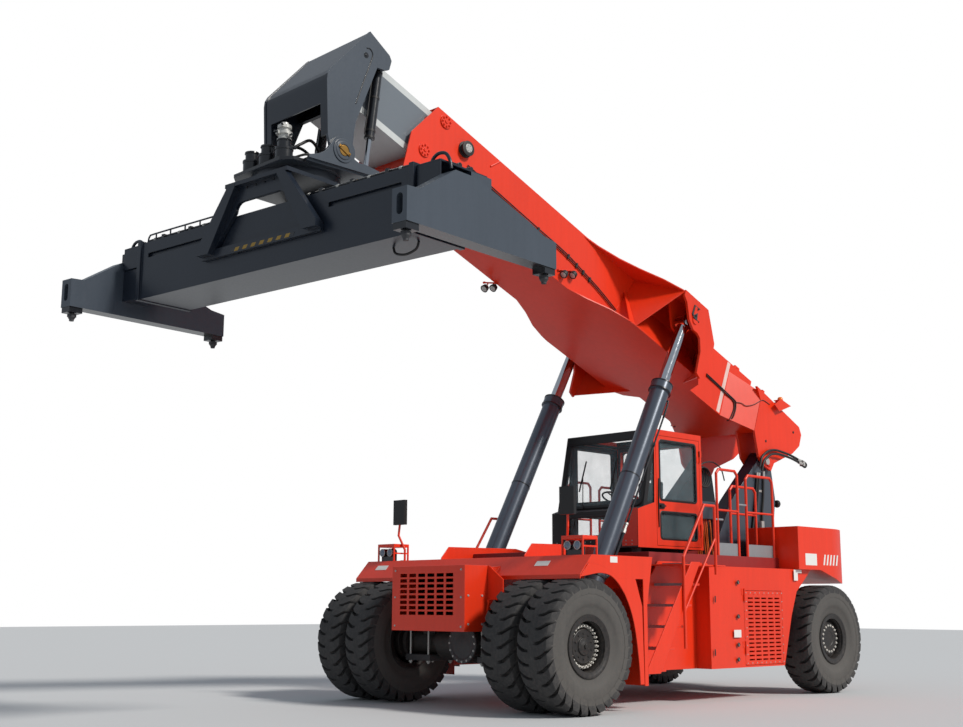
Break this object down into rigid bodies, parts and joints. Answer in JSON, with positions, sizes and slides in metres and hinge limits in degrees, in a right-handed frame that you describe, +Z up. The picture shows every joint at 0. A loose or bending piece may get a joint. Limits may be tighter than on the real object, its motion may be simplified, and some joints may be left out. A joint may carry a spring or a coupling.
{
  "type": "reach stacker",
  "caption": "Container handler with a telescopic lifting boom, a turning spreader, a central cab, twin front wheels and steered rear wheels.",
  "frame": {"origin": "on the ground, under the middle of the parked machine's overall box", "axes": "+X forward along the boom, +Y to the machine's left, +Z up"},
  "size_m": [11.5406, 6.2658, 8.3014],
  "materials": {
    "red": "semi-gloss paint, dusty, worn at edges",
    "dark_red": "semi-gloss paint, trodden",
    "navy": "semi-gloss paint with scuffs",
    "steel_grey": "semi-gloss paint",
    "light_grey": "greased paint",
    "graphite": "satin paint",
    "black": "satin paint, oily",
    "rim": "satin paint, dusty",
    "seat": "matt",
    "glass": "tinted",
    "chrome": "polished",
    "lock_steel": "worn",
    "tyre": "matt, dusty"
  },
  "bodies": {
    "chassis": {"frame": "red", "fenders": "red", "guards": "red", "grille_box": "red", "drive_axle": "black", "steer_axle": "black", "engine": "graphite", "counterweight": "red", "tower": "navy", "side_housings": "red", "deck": "dark_red", "rails": "red", "stairs": "red", "cab_shell": "red", "cab_glass": "glass", "cab_interior": "seat", "lamps": "black", "mirrors": "black"},
    "wheels_front_left": {"tyres_front_left": "tyre", "rims_front_left": "rim"},
    "wheels_front_right": {"tyres_front_right": "tyre", "rims_front_right": "rim"},
    "steer_left": {"knuckle_left": "black"},
    "steer_right": {"knuckle_right": "black"},
    "wheel_rear_left": {"tyre_rear_left": "tyre", "rim_rear_left": "rim"},
    "wheel_rear_right": {"tyre_rear_right": "tyre", "rim_rear_right": "rim"},
    "boom": {"boom_outer": "red"},
    "boom_slide": {"boom_inner": "light_grey", "boom_head": "steel_grey"},
    "spreader_yoke": {"yoke": "steel_grey"},
    "spreader_carriage": {"carriage": "navy"},
    "spreader": {"spreader_beam": "navy"},
    "spreader_end_left": {"end_beam_left": "navy"},
    "spreader_end_right": {"end_beam_right": "navy"},
    "lock_left_front": {"lock_left_front": "lock_steel"},
    "lock_left_rear": {"lock_left_rear": "lock_steel"},
    "lock_right_front": {"lock_right_front": "lock_steel"},
    "lock_right_rear": {"lock_right_rear": "lock_steel"},
    "lift_barrel_left": {"lift_barrel_left": "graphite"},
    "lift_rod_left": {"lift_rod_left": "chrome"},
    "lift_barrel_right": {"lift_barrel_right": "graphite"},
    "lift_rod_right": {"lift_rod_right": "chrome"},
    "damper_barrel_left": {"damper_barrel_left": "graphite"},
    "damper_rod_left": {"damper_rod_left": "chrome"},
    "damper_barrel_right": {"damper_barrel_right": "graphite"},
    "damper_rod_right": {"damper_rod_right": "chrome"},
    "cab_door_left": {"cab_door_left": "red"},
    "cab_door_right": {"cab_door_right": "red"},
    "service_door_left": {"service_door_left": "red"},
    "service_door_right": {"service_door_right": "red"}
  },
  "joints": [
    {"name": "roll_front_left", "type": "hinge", "parent": "chassis", "child": "wheels_front_left", "pos_m": [1.32966, 1.6, 0.805], "axis": [0, 1, 0], "continuous": true},
    {"name": "roll_front_right", "type": "hinge", "parent": "chassis", "child": "wheels_front_right", "pos_m": [1.32966, -1.6, 0.805], "axis": [0, 1, 0], "continuous": true},
    {"name": "steer_left", "type": "hinge", "parent": "chassis", "child": "steer_left", "pos_m": [-4.67034, 1.27, 0.805], "axis": [0, 0, 1], "range_deg": [-50, 50]},
    {"name": "roll_rear_left", "type": "hinge", "parent": "steer_left", "child": "wheel_rear_left", "pos_m": [-4.67034, 1.604, 0.805], "axis": [0, 1, 0], "continuous": true},
    {"name": "steer_right", "type": "hinge", "parent": "chassis", "child": "steer_right", "pos_m": [-4.67034, -1.27, 0.805], "axis": [0, 0, 1], "range_deg": [-50, 50]},
    {"name": "roll_rear_right", "type": "hinge", "parent": "steer_right", "child": "wheel_rear_right", "pos_m": [-4.67034, -1.604, 0.805], "axis": [0, 1, 0], "continuous": true},
    {"name": "boom_lift", "type": "hinge", "parent": "chassis", "child": "boom", "pos_m": [-4.70034, 0, 3.58], "axis": [0, -1, 0], "range_deg": [-18.5, 37.5]},
    {"name": "boom_extend", "type": "slide", "parent": "boom", "child": "boom_slide", "axis": [0.9304, 0, 0.3665], "range_m": [0, 6]},
    {"name": "yoke_level", "type": "hinge", "parent": "boom_slide", "child": "spreader_yoke", "pos_m": [4.08618, 0, 6.62193], "axis": [0, -1, 0], "range_deg": [-38, 19]},
    {"name": "slew", "type": "hinge", "parent": "spreader_yoke", "child": "spreader_carriage", "pos_m": [4.25618, 0, 6.3], "axis": [0, 0, 1], "range_deg": [-110.5, 189.5]},
    {"name": "side_shift", "type": "slide", "parent": "spreader_carriage", "child": "spreader", "axis": [0.0958, -0.9954, 0], "range_m": [-0.8, 0.8]},
    {"name": "end_left_out", "type": "slide", "parent": "spreader", "child": "spreader_end_left", "axis": [-0.0958, 0.9954, 0], "range_m": [0, 3.067]},
    {"name": "end_right_out", "type": "slide", "parent": "spreader", "child": "spreader_end_right", "axis": [0.0958, -0.9954, 0], "range_m": [0, 3.067]},
    {"name": "turn_lock_left_front", "type": "hinge", "parent": "spreader_end_left", "child": "lock_left_front", "pos_m": [5.09999, 3.02129, 5], "axis": [0, 0, 1], "range_deg": [0, 90]},
    {"name": "turn_lock_left_rear", "type": "hinge", "parent": "spreader_end_left", "child": "lock_left_rear", "pos_m": [2.85139, 2.80477, 5], "axis": [0, 0, 1], "range_deg": [0, 90]},
    {"name": "turn_lock_right_front", "type": "hinge", "parent": "spreader_end_right", "child": "lock_right_front", "pos_m": [5.66097, -2.80477, 5], "axis": [0, 0, 1], "range_deg": [0, 90]},
    {"name": "turn_lock_right_rear", "type": "hinge", "parent": "spreader_end_right", "child": "lock_right_rear", "pos_m": [3.41237, -3.02129, 5], "axis": [0, 0, 1], "range_deg": [0, 90]},
    {"name": "swing_lift_barrel_left", "type": "hinge", "parent": "chassis", "child": "lift_barrel_left", "pos_m": [0.12966, 1.05, 1.38], "axis": [0, -1, 0], "range_deg": [-3.2, 6.19]},
    {"name": "stroke_lift_left", "type": "slide", "parent": "lift_barrel_left", "child": "lift_rod_left", "axis": [-0.4859, 0, 0.874], "range_m": [-0.9916, 1.9997]},
    {"name": "swing_lift_barrel_right", "type": "hinge", "parent": "chassis", "child": "lift_barrel_right", "pos_m": [0.12966, -1.05, 1.38], "axis": [0, -1, 0], "range_deg": [-3.2, 6.19]},
    {"name": "stroke_lift_right", "type": "slide", "parent": "lift_barrel_right", "child": "lift_rod_right", "axis": [-0.4859, 0, 0.874], "range_m": [-0.9916, 1.9997]},
    {"name": "swing_damper_barrel_left", "type": "hinge", "parent": "boom_slide", "child": "damper_barrel_left", "pos_m": [3.40983, 0.5, 7.95695], "axis": [0, -1, 0], "range_deg": [-0.6, 0.6]},
    {"name": "stroke_damper_left", "type": "slide", "parent": "damper_barrel_left", "child": "damper_rod_left", "axis": [0.1226, 0, -0.9925], "range_m": [-0.3372, 0.1714]},
    {"name": "swing_damper_barrel_right", "type": "hinge", "parent": "boom_slide", "child": "damper_barrel_right", "pos_m": [3.40983, -0.5, 7.95695], "axis": [0, -1, 0], "range_deg": [-0.6, 0.6]},
    {"name": "stroke_damper_right", "type": "slide", "parent": "damper_barrel_right", "child": "damper_rod_right", "axis": [0.1226, 0, -0.9925], "range_m": [-0.3372, 0.1714]},
    {"name": "swing_cab_door_left", "type": "hinge", "parent": "chassis", "child": "cab_door_left", "pos_m": [-2.73334, 0.832, 2.9], "axis": [0, 0, 1], "range_deg": [0, 48]},
    {"name": "swing_cab_door_right", "type": "hinge", "parent": "chassis", "child": "cab_door_right", "pos_m": [-2.73334, -0.832, 2.9], "axis": [0, 0, -1], "range_deg": [0, 48]},
    {"name": "swing_service_door_left", "type": "hinge", "parent": "chassis", "child": "service_door_left", "pos_m": [-2.46734, 1.732, 1], "axis": [0, 0, -1], "range_deg": [0, 100]},
    {"name": "swing_service_door_right", "type": "hinge", "parent": "chassis", "child": "service_door_right", "pos_m": [-2.46734, -1.732, 1], "axis": [0, 0, 1], "range_deg": [0, 100]}
  ],
  "couplings": [
    {"joint": "steer_right", "follows": "steer_left", "ratio": 1},
    {"joint": "yoke_level", "follows": "boom_lift", "ratio": -1},
    {"joint": "end_right_out", "follows": "end_left_out", "ratio": 1},
    {"joint": "turn_lock_left_rear", "follows": "turn_lock_left_front", "ratio": 1},
    {"joint": "turn_lock_right_front", "follows": "turn_lock_left_front", "ratio": 1},
    {"joint": "turn_lock_right_rear", "follows": "turn_lock_left_front", "ratio": 1},
    {"joint": "swing_lift_barrel_left", "follows": "boom_lift", "ratio": 0.157},
    {"joint": "stroke_lift_left", "follows": "boom_lift", "m_per_rad": 3.04},
    {"joint": "swing_lift_barrel_right", "follows": "boom_lift", "ratio": 0.157},
    {"joint": "stroke_lift_right", "follows": "boom_lift", "m_per_rad": 3.04},
    {"joint": "swing_damper_barrel_left", "follows": "boom_lift", "ratio": 0.01},
    {"joint": "stroke_damper_left", "follows": "boom_lift", "m_per_rad": -0.5},
    {"joint": "swing_damper_barrel_right", "follows": "boom_lift", "ratio": 0.01},
    {"joint": "stroke_damper_right", "follows": "boom_lift", "m_per_rad": -0.5}
  ]
}
